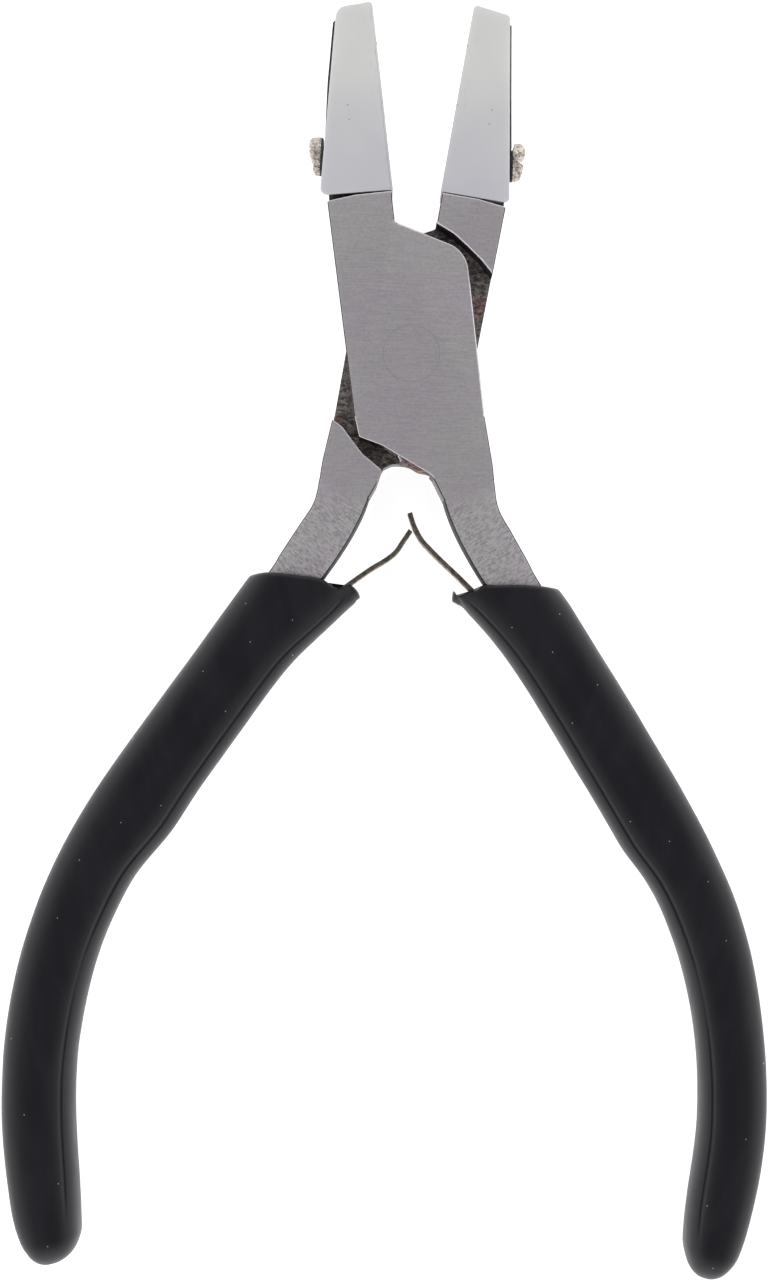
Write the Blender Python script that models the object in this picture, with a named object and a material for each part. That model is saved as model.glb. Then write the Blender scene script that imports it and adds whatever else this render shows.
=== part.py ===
"""Nylon-jaw flat-nose pliers for jewellery work, modelled open, as their springs hold them.

The two forged halves are the same shape. The front half lies as it is modelled, and the back half is
turned over about the tool's length, so each sub-part is modelled once, in a half's own frame:
millimetres, the rivet's axis at the origin, +Y towards the jaws when the tool is closed, the jaw at -X,
the handle at +X, the back of the tool at Z = 0. An empty on the rivet's axis then swings each half open.
World units are metres: +Z is the tool's front, +Y its length, and Z = 0 is the surface that it lies on.
"""

import math

import bmesh
import bpy
from mathutils import Matrix, Vector

MM = 0.001

# The joint
THICKNESS = 9.0
MIDDLE = THICKNESS / 2
SLIDE_GAP = 0.06  # between the two lapped plates
OPEN_ANGLE = math.radians(8.18)  # how far each half stands from closed
RIVET_RADIUS = 2.0
RIVET_HEAD_RADIUS = 3.0
RIVET_HEAD_HEIGHT = 0.95
RUNNING_GAP = 0.05
SEAT_GAP = 0.1  # between pieces that are fixed together

# The handles run straight and then bend inwards along one arc
MOUTH = Vector((8.6, -26.1))  # where the handle's middle line enters its grip
SPLAY = math.radians(25.8)
STRAIGHT = 26.6
BEND_RADIUS = 62.9
TANG_END = 77.0
TANG_INNER = 2.8
TANG_OUTER = 2.3
TANG_TIP = 2.0
TANG_HALF_THICKNESS = 3.1

# The dipped vinyl grips
GRIP_SQUARENESS = 2.6
LIP_RADIUS = 0.6
MOUTH_TILT = math.radians(-4.0)
MOUTH_TURN = 14.0  # how far down the handle the cross-sections turn from the mouth's tilt to the handle's

# The nylon jaws
FACE_X = -0.05  # the gripping face, a hair short of the line where the jaws meet
NYLON_FOOT_Y = 17.76
NYLON_TIP_Y = 38.25
TONGUE_HALF_THICKNESS = 1.6
TONGUE_END_Y = 37.3
SCREW_TILT = math.radians(6.0)
SCREW_Y = 22.85
SCREW_RADIUS = 1.25
SCREW_HEAD_RADIUS = 2.1
SCREW_HEAD_HEIGHT = 1.45
SCREW_LENGTH = 6.3
SLOT_WIDTH = 1.05
SLOT_DEPTH = 0.85

# The leaf springs
LEAF_THICKNESS = 0.5
LEAF_HALF_WIDTH = 2.3
LEAF_CLAMP = 35.5  # how far down the handle each leaf is riveted
SPRING_RIVET_RADIUS = 0.8
SPRING_RIVET_HEAD_RADIUS = 1.5
SPRING_RIVET_HEAD_HEIGHT = 0.75
SPRING_RIVET_DEPTH = 3.0

# What differs between the two halves, each from its mouth or foot to its tip. A grip's edges are (place down
# the handle, distance from the handle's middle line), and its cap is the rounded end, whose point may lean
# out.
SIDES = {
    "right": {
        "leaf": ((3.75, -26.03), (2.37, -24.33), (0.9, -22.6), (-0.27, -21.14), (-1.05, -20.05),
                 (-1.67, -18.53), (-1.98, -17.05)),
        "leaf_entry": (4.83, -27.53),
        "inner": ((-2.0, 6.2), (0.0, 5.9), (4.0, 5.27), (9.0, 4.95), (14.0, 4.95), (22.0, 5.12), (30.5, 5.22),
                  (36.0, 4.35), (41.0, 3.95), (48.0, 3.7), (64.0, 3.67), (72.0, 3.86), (76.0, 3.6),
                  (80.0, 2.9)),
        "outer": ((0.0, 4.0), (12.0, 3.97), (22.0, 3.84), (31.0, 3.65), (43.0, 3.98), (54.0, 3.8),
                  (66.0, 3.72), (76.0, 3.22), (80.0, 2.75)),
        "end": 81.8,
        "cap": 3.6,
        "lean": 0.0,
    },
    "left": {
        "leaf": ((2.61, -25.99), (0.31, -23.68), (-1.15, -22.4), (-2.09, -21.33), (-2.66, -20.1),
                 (-3.25, -18.78)),
        "leaf_entry": (4.14, -27.63),
        "inner": ((-2.0, 7.22), (0.0, 6.83), (3.0, 6.25), (7.0, 5.53), (11.0, 5.33), (24.0, 5.33),
                  (30.5, 5.47), (37.0, 4.43), (41.0, 4.15), (47.0, 3.85), (60.0, 3.82), (71.0, 3.99),
                  (76.0, 3.7), (80.5, 3.05)),
        "outer": ((0.0, 3.87), (14.0, 3.9), (22.0, 3.98), (29.0, 3.92), (42.0, 4.25), (51.0, 4.31),
                  (66.0, 4.1), (73.0, 3.86), (77.5, 3.77), (80.5, 3.3)),
        "end": 82.5,
        "cap": 3.2,
        "lean": 0.8,
    },
}
JAWS = {
    "left": {"foot": 8.0, "foot_rise": 0.25, "tip": 4.0, "tip_radius": 1.3, "tip_drop": 0.25,
             "head_x": -7.4, "slot_turn": 26.0},
    "right": {"foot": 7.56, "foot_rise": 0.05, "tip": 4.1, "tip_radius": 0.5, "tip_drop": 0.5,
              "head_x": -7.05, "slot_turn": 0.0},
}

# Outlines in a half's own frame: each point is x, y and the radius that rounds it
PLATE_OUTLINE = (
    (-7.25, 17.35, 0.2),
    (-6.85, -6.0, 3.0),
    (-6.62, -8.35, 0.35),
    (-4.3, -9.5, 3.0),
    (0.8, -13.35, 1.2),
    (1.8, -16.1, 0.0),
    (7.4, -14.5, 0.0),
    (7.42, -13.0, 3.0),
    (7.1, -7.5, 5.0),
    (7.12, 10.4, 3.4),
    (-0.25, 14.3, 0.6),
    (-0.25, 17.66, 0.2),
    (-4.2, 17.66, 0.0),
)
# The back half's crotch is ground out further, to this outline
CROTCH_CUT = (
    (1.3, -14.8),
    (1.02, -13.0),
    (0.85, -12.5),
    (0.5, -12.12),
    (0.05, -11.9),
    (-0.6, -11.76),
    (-1.5, -11.7),
    (-3.0, -12.2),
    (-3.0, -14.8),
)
# Half the thickness is cut away inside this outline, which leaves the plate that the other half laps
RECESS_OUTLINE = (
    (-9.6, 7.5),
    (-6.86, 10.2),
    (-5.6, 11.3),
    (-4.0, 12.4),
    (-2.3, 13.5),
    (-0.25, 14.3),
    (1.2, 15.2),
    (9.6, 15.2),
    (9.6, -8.2),
    (7.1, -8.55),
    (6.05, -9.0),
    (3.3, -11.6),
    (2.2, -12.2),
    (0.7, -13.1),
    (-0.6, -14.2),
    (-9.6, -14.2),
)
TONGUE_ROOT_Y = 15.5
TONGUE_OUTLINE = (
    (-7.0, TONGUE_ROOT_Y, 0.0),
    (-2.3, TONGUE_ROOT_Y, 0.0),
    (-2.1, TONGUE_END_Y, 0.4),
    (-4.3, TONGUE_END_Y, 0.5),
    (-5.65, 30.5, 6.0),
)
ARM_SINK = 0.03  # how far the arm's flats start below the plate's
ARM_TAPER_START = -14.4
ARM_TAPER_END = -26.2
ARM_MOUTH_HALF = 3.35
ARM_RINGS = 14
TANG_STATIONS = (0.0, 3.0, 6.0, 12.0, 19.0, 26.0, 31.0, 36.0, 41.0, 46.0, 51.0, 56.0, 61.0, 66.0, 71.0,
                 TANG_END)
ARM_INNER = ((1.95, -13.4), (1.82, -16.1), (2.67, -19.6), (4.06, -23.15))
ARM_OUTER = ((7.15, -12.0), (7.34, -14.6), (7.55, -17.6), (8.76, -20.5), (10.1, -23.6))


# Curves and outlines


def handle_point(along, aside=0.0):
    """A point beside the handle's middle line, and the line's heading there; aside is outwards."""
    straight = min(along, STRAIGHT)
    heading = SPLAY - max(along - STRAIGHT, 0.0) / BEND_RADIUS
    point = MOUTH + straight * Vector((math.sin(SPLAY), -math.cos(SPLAY)))
    point += BEND_RADIUS * Vector((math.cos(heading) - math.cos(SPLAY), math.sin(heading) - math.sin(SPLAY)))
    return point + aside * Vector((math.cos(heading), math.sin(heading))), heading


def between(knots, along):
    """A smooth value between (place, value) knots."""
    if along <= knots[0][0]:
        return knots[0][1]
    for (start, low), (end, high) in zip(knots, knots[1:]):
        if along <= end:
            share = (along - start) / (end - start)
            return low + (high - low) * share * share * (3 - 2 * share)
    return knots[-1][1]


def flowing(knots, place):
    """A value that flows through (place, value) knots, and stays level beyond them."""
    if place <= knots[0][0]:
        return knots[0][1]
    if place >= knots[-1][0]:
        return knots[-1][1]
    index = max(index for index, knot in enumerate(knots[:-1]) if knot[0] <= place)
    (start, low), (end, high) = knots[index], knots[index + 1]
    before, after = knots[max(index - 1, 0)], knots[min(index + 2, len(knots) - 1)]
    slopes = [(late[1] - early[1]) / (late[0] - early[0]) * (end - start)
              for early, late in ((before, (end, high)), ((start, low), after))]
    t = (place - start) / (end - start)
    rise = high - low
    return low + slopes[0] * t + (3 * rise - 2 * slopes[0] - slopes[1]) * t**2 + (
        slopes[0] + slopes[1] - 2 * rise) * t**3


def curve_through(points, steps):
    """A Catmull-Rom curve through the points."""
    points = [Vector(point) for point in points]
    ends = [2 * points[0] - points[1], *points, 2 * points[-1] - points[-2]]
    found = []
    for before, start, end, after in zip(ends, ends[1:], ends[2:], ends[3:]):
        for step in range(steps):
            t = step / steps
            found.append(
                0.5 * (2 * start + (end - before) * t + (2 * before - 5 * start + 4 * end - after) * t**2
                       + (3 * start - before - 3 * end + after) * t**3)
            )
    return [*found, points[-1]]


def rounded(corners, steps=5):
    """The outline with each corner (x, y, radius) replaced by an arc."""
    found = []
    for index, (x, y, radius) in enumerate(corners):
        corner = Vector((x, y))
        before = Vector(corners[index - 1][:2]) - corner
        after = Vector(corners[(index + 1) % len(corners)][:2]) - corner
        turn = math.pi - before.angle(after)
        if radius == 0 or turn < 0.01:
            found.append(corner)
            continue
        reach = radius * math.tan(turn / 2)
        start = corner + before.normalized() * reach
        end = corner + after.normalized() * reach
        towards_middle = (before.normalized() + after.normalized()).normalized()
        middle = corner + towards_middle * radius / math.cos(turn / 2)
        first = (start - middle).angle_signed(end - middle)
        for step in range(steps + 1):
            spoke = (start - middle).copy()
            spoke.rotate(Matrix.Rotation(-first * step / steps, 2))
            found.append(middle + spoke)
    return found


def strip(line, thickness):
    """The outline of a strip of this thickness along a line, with square ends."""
    sides = ([], [])
    for index, point in enumerate(line):
        ahead = line[min(index + 1, len(line) - 1)] - line[max(index - 1, 0)]
        across = Vector((-ahead.y, ahead.x)).normalized() * thickness / 2
        sides[0].append(point + across)
        sides[1].append(point - across)
    return sides[0] + sides[1][::-1]


def area(outline):
    return sum(a.x * b.y - b.x * a.y for a, b in zip(outline, outline[1:] + outline[:1])) / 2


def inset(outline, depth):
    """The anticlockwise outline moved inwards."""
    found = []
    for index, point in enumerate(outline):
        back = (point - outline[index - 1]).normalized()
        ahead = (outline[(index + 1) % len(outline)] - point).normalized()
        inward = Vector((-back.y - ahead.y, back.x + ahead.x)).normalized()
        share = max(inward.dot(Vector((-back.y, back.x))), 0.5)
        found.append(point + inward * depth / share)
    return found


# Solids


def mesh_object(name, bm):
    """A new object from a bmesh in millimetres."""
    bmesh.ops.recalc_face_normals(bm, faces=bm.faces)
    bmesh.ops.scale(bm, vec=(MM, MM, MM), verts=bm.verts)
    mesh = bpy.data.meshes.new(name)
    bm.to_mesh(mesh)
    bm.free()
    obj = bpy.data.objects.new(name, mesh)
    bpy.context.scene.collection.objects.link(obj)
    return obj


def loft(name, rings):
    """A closed body through rings of equally many points."""
    bm = bmesh.new()
    rings = [[bm.verts.new(point) for point in ring] for ring in rings]
    for ring, after in zip(rings, rings[1:]):
        for index in range(len(ring)):
            bm.faces.new((ring[index - 1], ring[index], after[index], after[index - 1]))
    bm.faces.new(rings[0])
    bm.faces.new(rings[-1])
    return mesh_object(name, bm)


def prism(name, outline, low, high, chamfer=0.0):
    """An outline raised from low to high, with chamfered edges."""
    if area(outline) < 0:
        outline = outline[::-1]
    if chamfer == 0:
        return loft(name, [[point.to_3d() + Vector((0, 0, z)) for point in outline] for z in (low, high)])
    small = inset(outline, chamfer)
    levels = ((small, low), (outline, low + chamfer), (outline, high - chamfer), (small, high))
    return loft(name, [[point.to_3d() + Vector((0, 0, z)) for point in ring] for ring, z in levels])


def turned(name, profile, start, heading, steps=40):
    """A body turned about an axis: profile is (radius, distance along the axis), the ends closed."""
    axis = Vector(heading).normalized()
    side = axis.orthogonal().normalized()
    rings = []
    for radius, along in profile:
        middle = Vector(start) + axis * along
        rings.append(
            [middle + Matrix.Rotation(math.tau * step / steps, 3, axis) @ (side * radius)
             for step in range(steps)]
        )
    return loft(name, rings)


def box(name, size, turn):
    """A box of this size in millimetres, placed by a matrix."""
    bm = bmesh.new()
    bmesh.ops.create_cube(bm, size=1.0, matrix=turn @ Matrix.Diagonal((*size, 1.0)))
    return mesh_object(name, bm)


def combine(target, tool, operation):
    """Cuts the tool from the target or joins it, and removes the tool."""
    modifier = target.modifiers.new(operation, "BOOLEAN")
    modifier.operation = operation
    modifier.solver = "EXACT"
    modifier.object = tool
    graph = bpy.context.evaluated_depsgraph_get()
    mesh = bpy.data.meshes.new_from_object(target.evaluated_get(graph))
    target.modifiers.clear()
    target.data = mesh
    bpy.data.objects.remove(tool)


def finish(obj, parent, colour, roughness, metallic, crease=35.0):
    """Gives the object its material and its half, with its round faces shaded smooth."""
    material = bpy.data.materials.new(obj.name)
    material.use_nodes = True
    shader = material.node_tree.nodes["Principled BSDF"]
    shader.inputs["Base Color"].default_value = (*colour, 1.0)
    shader.inputs["Roughness"].default_value = roughness
    shader.inputs["Metallic"].default_value = metallic
    obj.data.materials.clear()
    obj.data.materials.append(material)
    obj.data.shade_smooth()
    obj.data.set_sharp_from_angle(angle=math.radians(crease))
    obj.parent = parent
    return obj


# The forged halves


def tang_edge(along, inner, outer):
    """The tang's two edges, which narrow evenly to its tip."""
    share = along / TANG_END
    inner = inner + (TANG_TIP - TANG_INNER) * share
    outer = outer + (TANG_TIP - TANG_OUTER) * share
    return handle_point(along, -inner)[0], handle_point(along, outer)[0]


def arm_ring(inner, outer, half_thickness, chamfer):
    """A chamfered rectangle between two points of the arm's edges."""
    across = (outer - inner).normalized() * chamfer
    ring = []
    for sign in (-1, 1):
        level = MIDDLE + sign * half_thickness
        shy = MIDDLE + sign * (half_thickness - chamfer)
        row = [(inner, shy), (inner + across, level), (outer - across, level), (outer, shy)]
        ring += [point.to_3d() + Vector((0, 0, z)) for point, z in row[::sign]]
    return ring


def arm_and_tang():
    """The arm below the joint, tapering into the tang that the grip covers."""
    steps = 4
    first = [tang_edge(along, TANG_INNER, TANG_OUTER) for along in (0.0, 3.0)]
    inner = curve_through([*ARM_INNER, *(edges[0] for edges in first)], steps)[:-steps]
    outer = curve_through([*ARM_OUTER, *(edges[1] for edges in first)], steps)[:-steps]
    rings = []
    for index in range(ARM_RINGS):
        share = index / (ARM_RINGS - 1)
        ends = point_along(inner, share), point_along(outer, share)
        level = (ends[0].y + ends[1].y) / 2
        taper = ((ARM_TAPER_END, ARM_MOUTH_HALF), (ARM_TAPER_START, MIDDLE - ARM_SINK))
        half = between_straight(taper, level)
        rings.append(arm_ring(*ends, half, 0.25))
    for along in TANG_STATIONS[1:]:
        half = between(((0.0, ARM_MOUTH_HALF), (6.0, TANG_HALF_THICKNESS)), along)
        rings.append(arm_ring(*tang_edge(along, TANG_INNER, TANG_OUTER), half, 0.4))
    return loft("arm", rings)


def between_straight(ends, place):
    """A value that changes evenly between two (place, value) ends and stays level beyond them."""
    (start, low), (end, high) = ends
    share = min(max((place - start) / (end - start), 0.0), 1.0)
    return low + (high - low) * share


def point_along(line, share):
    """The point at this share of a line's length."""
    lengths = [0.0]
    for start, end in zip(line, line[1:]):
        lengths.append(lengths[-1] + (end - start).length)
    target = share * lengths[-1]
    for start, end, low, high in zip(line, line[1:], lengths, lengths[1:]):
        if target <= high:
            return start.lerp(end, (target - low) / (high - low))
    return line[-1]


def half_forging(name, parent, jaw):
    """One forged half: tongue, shank, lapped plate, arm and tang."""
    half = prism(name, rounded(PLATE_OUTLINE), 0.0, THICKNESS, 0.15)
    recess = [Vector(point) for point in RECESS_OUTLINE]
    combine(half, prism("recess", recess, -1.0, MIDDLE + SLIDE_GAP / 2), "DIFFERENCE")
    if name == "back_half":
        crotch = [Vector(point) for point in CROTCH_CUT]
        combine(half, prism("crotch", crotch, -1.0, THICKNESS + 1.0), "DIFFERENCE")
    combine(half, arm_and_tang(), "UNION")
    low, high = MIDDLE - TONGUE_HALF_THICKNESS, MIDDLE + TONGUE_HALF_THICKNESS
    combine(half, prism("tongue", rounded(TONGUE_OUTLINE), low, high, 0.15), "UNION")
    combine(half, rivet_body("bore", RUNNING_GAP, 1.0), "DIFFERENCE")
    start, heading = screw_axis(jaw)
    hole = ((SCREW_RADIUS + RUNNING_GAP, -3.0), (SCREW_RADIUS + RUNNING_GAP, SCREW_LENGTH + 1.0))
    combine(half, turned("screw_hole", hole, start, heading, 24), "DIFFERENCE")
    radius = SPRING_RIVET_RADIUS + SEAT_GAP
    start, heading = spring_rivet_axis()
    hole = ((radius, -1.0), (radius, SPRING_RIVET_DEPTH + SEAT_GAP))
    combine(half, turned("spring_hole", hole, start, heading, 24), "DIFFERENCE")
    return finish(half, parent, (0.42, 0.40, 0.42), 0.35, 1.0)


def rivet_body(name, grow, beyond):
    """The main rivet: two flush countersunk heads on one shaft, or the space that it turns in."""
    head = RIVET_HEAD_RADIUS + grow
    shaft = RIVET_RADIUS + grow
    depth = RIVET_HEAD_HEIGHT + grow
    profile = [(head, 0.0), (head, depth), (shaft, depth), (shaft, THICKNESS - depth),
               (head, THICKNESS - depth),
               (head, THICKNESS)]
    if beyond:
        profile = [(head, -beyond), *profile[1:-1], (head, THICKNESS + beyond)]
    return turned(name, profile, (0, 0, 0), (0, 0, 1), 48)


def pivot_rivet(parent):
    return finish(rivet_body("pivot_rivet", 0.0, 0.0), parent, (0.40, 0.38, 0.40), 0.4, 1.0)


# The jaws


def screw_axis(jaw):
    """Where the underside of the screw's head sits, and the way the screw points."""
    start = Vector((JAWS[jaw]["head_x"], SCREW_Y, MIDDLE))
    return start, Vector((math.cos(SCREW_TILT), -math.sin(SCREW_TILT), 0))


def nylon_jaw(jaw, parent):
    """A nylon block that wraps three sides of the steel tongue."""
    size = JAWS[jaw]
    outline = (
        (FACE_X, NYLON_FOOT_Y, 0.2),
        (FACE_X, NYLON_TIP_Y, 0.45),
        (-size["tip"], NYLON_TIP_Y - size["tip_drop"], size["tip_radius"]),
        (-size["foot"], NYLON_FOOT_Y + size["foot_rise"], 0.9),
    )
    block = prism(f"{jaw}_nylon_jaw", rounded(outline), 0.05, THICKNESS - 0.05, 0.25)
    end = TONGUE_END_Y + 0.3
    root_x = TONGUE_OUTLINE[1][0] + SEAT_GAP
    tip_x = TONGUE_OUTLINE[2][0] + SEAT_GAP
    corners = ((-12.0, TONGUE_ROOT_Y), (root_x, TONGUE_ROOT_Y), (tip_x, end), (-12.0, end))
    slot = [Vector(corner) for corner in corners]
    reach = TONGUE_HALF_THICKNESS + SEAT_GAP
    combine(block, prism("slot", slot, MIDDLE - reach, MIDDLE + reach), "DIFFERENCE")
    start, heading = screw_axis(jaw)
    radius = SCREW_RADIUS + RUNNING_GAP
    hole = ((radius, -3.0), (radius, SCREW_LENGTH + SEAT_GAP))
    combine(block, turned("hole", hole, start, heading, 24), "DIFFERENCE")
    return finish(block, parent, (0.72, 0.72, 0.74), 0.45, 0.0)


def jaw_screw(jaw, parent):
    """A slotted cheese-head screw that holds the nylon on its tongue."""
    start, heading = screw_axis(jaw)
    top = -SCREW_HEAD_HEIGHT
    profile = (
        (SCREW_HEAD_RADIUS - 0.6, top),
        (SCREW_HEAD_RADIUS - 0.18, top + 0.12),
        (SCREW_HEAD_RADIUS, top + 0.45),
        (SCREW_HEAD_RADIUS, -0.05),
        (SCREW_RADIUS, -0.05),
        (SCREW_RADIUS, SCREW_LENGTH - 0.4),
        (SCREW_RADIUS - 0.35, SCREW_LENGTH),
    )
    screw = turned(f"{jaw}_jaw_screw", profile, start, heading, 32)
    turn = Matrix.Translation(start + heading * top) @ Matrix.Rotation(-SCREW_TILT, 4, "Z")
    turn = turn @ Matrix.Rotation(math.radians(JAWS[jaw]["slot_turn"]), 4, "X")
    size = (2 * SLOT_DEPTH, SLOT_WIDTH, 3 * SCREW_HEAD_RADIUS)
    combine(screw, box("slot", size, turn), "DIFFERENCE")
    return finish(screw, parent, (0.47, 0.43, 0.38), 0.4, 1.0)


# The leaf springs


def leaf_line(handle):
    """The middle line of a leaf's fixed length, from its riveted end up to the grip's mouth."""
    tang = [handle_point(along, -(tang_half(along) + SEAT_GAP + LEAF_THICKNESS / 2))[0]
            for along in (LEAF_CLAMP + 2.2, LEAF_CLAMP, 30.0, 25.0, 20.0, 15.0, 10.0)]
    side = SIDES[handle]
    near_mouth = handle_point(5.0, -TANG_INNER - 0.55)[0]
    return curve_through([*tang, near_mouth, side["leaf_entry"], side["leaf"][0]], 3)


def tang_half(along):
    return TANG_INNER + (TANG_TIP - TANG_INNER) * along / TANG_END


def spring_rivet_axis():
    """Where the rivet crosses the tang's inner edge, and the way it points."""
    edge, heading = handle_point(LEAF_CLAMP, -tang_half(LEAF_CLAMP))
    return edge.to_3d() + Vector((0, 0, MIDDLE)), Vector((math.cos(heading), math.sin(heading), 0))


def spring_root(handle, parent):
    """The length of a leaf spring that is held inside the grip."""
    line = leaf_line(handle)
    line[-1] = line[-1].lerp(line[-2], 0.35)
    low, high = MIDDLE - LEAF_HALF_WIDTH, MIDDLE + LEAF_HALF_WIDTH
    root = prism(f"{handle}_spring_root", strip(line, LEAF_THICKNESS), low, high)
    radius = SPRING_RIVET_RADIUS + SEAT_GAP
    start, heading = spring_rivet_axis()
    combine(root, turned("hole", ((radius, -2.0), (radius, 2.0)), start, heading, 24), "DIFFERENCE")
    return finish(root, parent, (0.16, 0.14, 0.12), 0.4, 1.0)


def spring_leaf(handle, parent):
    """The free length of a leaf spring, whose origin is where it bends out of the grip."""
    hinge = Vector(SIDES[handle]["leaf"][0])
    line = [point - hinge for point in curve_through(SIDES[handle]["leaf"], 4)]
    low, high = MIDDLE - LEAF_HALF_WIDTH, MIDDLE + LEAF_HALF_WIDTH
    leaf = prism(f"{handle}_spring_leaf", strip(line, LEAF_THICKNESS), low, high)
    leaf.location = hinge.to_3d() * MM
    return finish(leaf, parent, (0.16, 0.14, 0.12), 0.4, 1.0)


def spring_rivet(handle, parent):
    """The dome-headed rivet that fixes a leaf spring to its tang."""
    start, heading = spring_rivet_axis()
    seat = -(2 * SEAT_GAP + LEAF_THICKNESS)
    top = seat - SPRING_RIVET_HEAD_HEIGHT
    profile = (
        (0.7, top),
        (1.2, top + 0.2),
        (SPRING_RIVET_HEAD_RADIUS, top + 0.55),
        (SPRING_RIVET_HEAD_RADIUS, seat),
        (SPRING_RIVET_RADIUS, seat),
        (SPRING_RIVET_RADIUS, SPRING_RIVET_DEPTH),
    )
    rivet = turned(f"{handle}_spring_rivet", profile, start, heading, 24)
    return finish(rivet, parent, (0.36, 0.34, 0.32), 0.4, 1.0)


# The grips


def grip_ring(along, shrink, handle, points=28):
    """One cross-section of a grip: square to the tool at the mouth, square to the handle further down."""
    side = SIDES[handle]
    middle, heading = handle_point(along)
    tilt = between(((0.0, MOUTH_TILT), (MOUTH_TURN, heading)), along)
    across = Vector((math.cos(tilt), math.sin(tilt)))
    inner = grip_reach(side["inner"], along, tilt - heading)
    outer = grip_reach(side["outer"], along, heading - tilt)
    into_cap = max(along - (side["end"] - side["cap"]), 0.0) / side["cap"]
    round_off = math.sqrt(max(1.0 - into_cap**2, 0.0))
    ring = []
    for step in range(points):
        angle = math.tau * step / points
        power = 2 / GRIP_SQUARENESS
        sideways = math.copysign(abs(math.cos(angle)) ** power, math.cos(angle))
        upwards = math.copysign(abs(math.sin(angle)) ** power, math.sin(angle))
        aside = sideways * ((outer if sideways > 0 else inner) - shrink)
        place = middle + across * (side["lean"] + (aside - side["lean"]) * round_off)
        ring.append(place.to_3d() + Vector((0, 0, MIDDLE + upwards * (MIDDLE - shrink) * round_off)))
    return ring


def grip_reach(edge, along, turn):
    """How far a cross-section that is turned from square reaches to a grip's edge."""
    width = flowing(edge, along)
    for _ in range(4):
        width = flowing(edge, along + width * math.tan(turn))
    return width / math.cos(turn)


def grip(handle, parent):
    """A dipped vinyl grip, hollow where the tang and the leaf spring run."""
    stations = [(0.0, LIP_RADIUS), (0.12, 0.25 * LIP_RADIUS), (LIP_RADIUS, 0.0)]
    upper = (2.0, 4.5, 7.5, 11.0, 15.0, 20.0, 25.0, 29.0, 32.0, 34.5, 37.0, 39.5)
    stations += [(along, 0.0) for along in upper]
    stations += [(along, 0.0) for along in (43.0, 47.0, 51.0, 55.0, 59.0, 63.0, 67.0, 71.0, 75.0)]
    cap = SIDES[handle]["cap"]
    start = SIDES[handle]["end"] - cap
    stations += [(start + cap * math.sin(math.radians(angle)), 0.0) for angle in (0, 22, 42, 58, 72, 83)]
    sleeve = loft(f"{handle}_grip", [grip_ring(along, shrink, handle) for along, shrink in stations])
    places = (-5.0, *TANG_STATIONS[:-1], TANG_END + 0.3)
    edges = [tang_edge(along, TANG_INNER + SEAT_GAP, TANG_OUTER + SEAT_GAP) for along in places]
    tang = [inner for inner, _ in edges] + [outer for _, outer in edges[::-1]]
    reach = ARM_MOUTH_HALF + SEAT_GAP
    combine(sleeve, prism("tang_space", tang, MIDDLE - reach, MIDDLE + reach), "DIFFERENCE")
    combine(sleeve, prism("leaf_space", leaf_space(handle), MIDDLE - 2.5, MIDDLE + 2.5), "DIFFERENCE")
    start, heading = spring_rivet_axis()
    head = SPRING_RIVET_HEAD_RADIUS + SEAT_GAP
    top = -(2 * SEAT_GAP + LEAF_THICKNESS + SPRING_RIVET_HEAD_HEIGHT + SEAT_GAP)
    combine(sleeve, turned("rivet_space", ((head, top), (head, 1.0)), start, heading, 24), "DIFFERENCE")
    return finish(sleeve, parent, (0.018, 0.018, 0.02), 0.35, 0.0)


def leaf_space(handle):
    """The outline of the pocket beside the tang where the leaf spring lies."""
    line = leaf_line(handle)
    mouth = line[-1] + (line[-1] - line[-2]).normalized() * 2.5
    start = line[0] + (line[0] - line[1]).normalized() * 0.3
    line = [start, *line[1:-1], mouth]
    width = LEAF_THICKNESS + 2 * SEAT_GAP + 0.1
    inner_side = strip(line, width)[len(line):][::-1]
    outer_side = strip(line, width)[: len(line)]
    near = min((inner_side, outer_side), key=lambda side: sum(point.x for point in side))
    return near + [handle_point(along)[0] for along in (-4.0, 10.0, 20.0, LEAF_CLAMP + 2.5)]


# Assembly


def half_frame(name, location, rotation):
    """An empty on the rivet's axis that carries one half."""
    frame = bpy.data.objects.new(name, None)
    bpy.context.scene.collection.objects.link(frame)
    frame.matrix_world = Matrix.Translation(location) @ rotation
    return frame


def build():
    for obj in list(bpy.data.objects):
        bpy.data.objects.remove(obj)
    swing = Matrix.Rotation(OPEN_ANGLE, 4, "Z")
    turn_over = Matrix.Rotation(math.pi, 4, "Y")
    front = half_frame("front_frame", (0, 0, 0), swing)
    back = half_frame("back_frame", (0, 0, THICKNESS * MM), swing.inverted() @ turn_over)
    halves = (("front_half", "left", "right", front), ("back_half", "right", "left", back))
    for half, jaw, handle, frame in halves:
        half_forging(half, frame, jaw)
        nylon_jaw(jaw, frame)
        jaw_screw(jaw, frame)
        spring_root(handle, frame)
        spring_leaf(handle, frame)
        spring_rivet(handle, frame)
        grip(handle, frame)
    pivot_rivet(front)


build()
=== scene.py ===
"""The looks of the nylon-jaw flat-nose pliers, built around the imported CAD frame.

Each piece is modelled once in a half's own frame, in millimetres: the rivet's axis at the origin, +Y
towards the jaws when the tool is closed, the jaw at -X, the handle at +X, the back of the tool at Z = 0.
The front half lies as it is modelled and the back half is turned over about the tool's length, so both
halves share their code. Each piece then rides on its CAD body and stands for its CAD node.
"""

import math

import bmesh
import bpy
from mathutils import Matrix, Vector, noise


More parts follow.
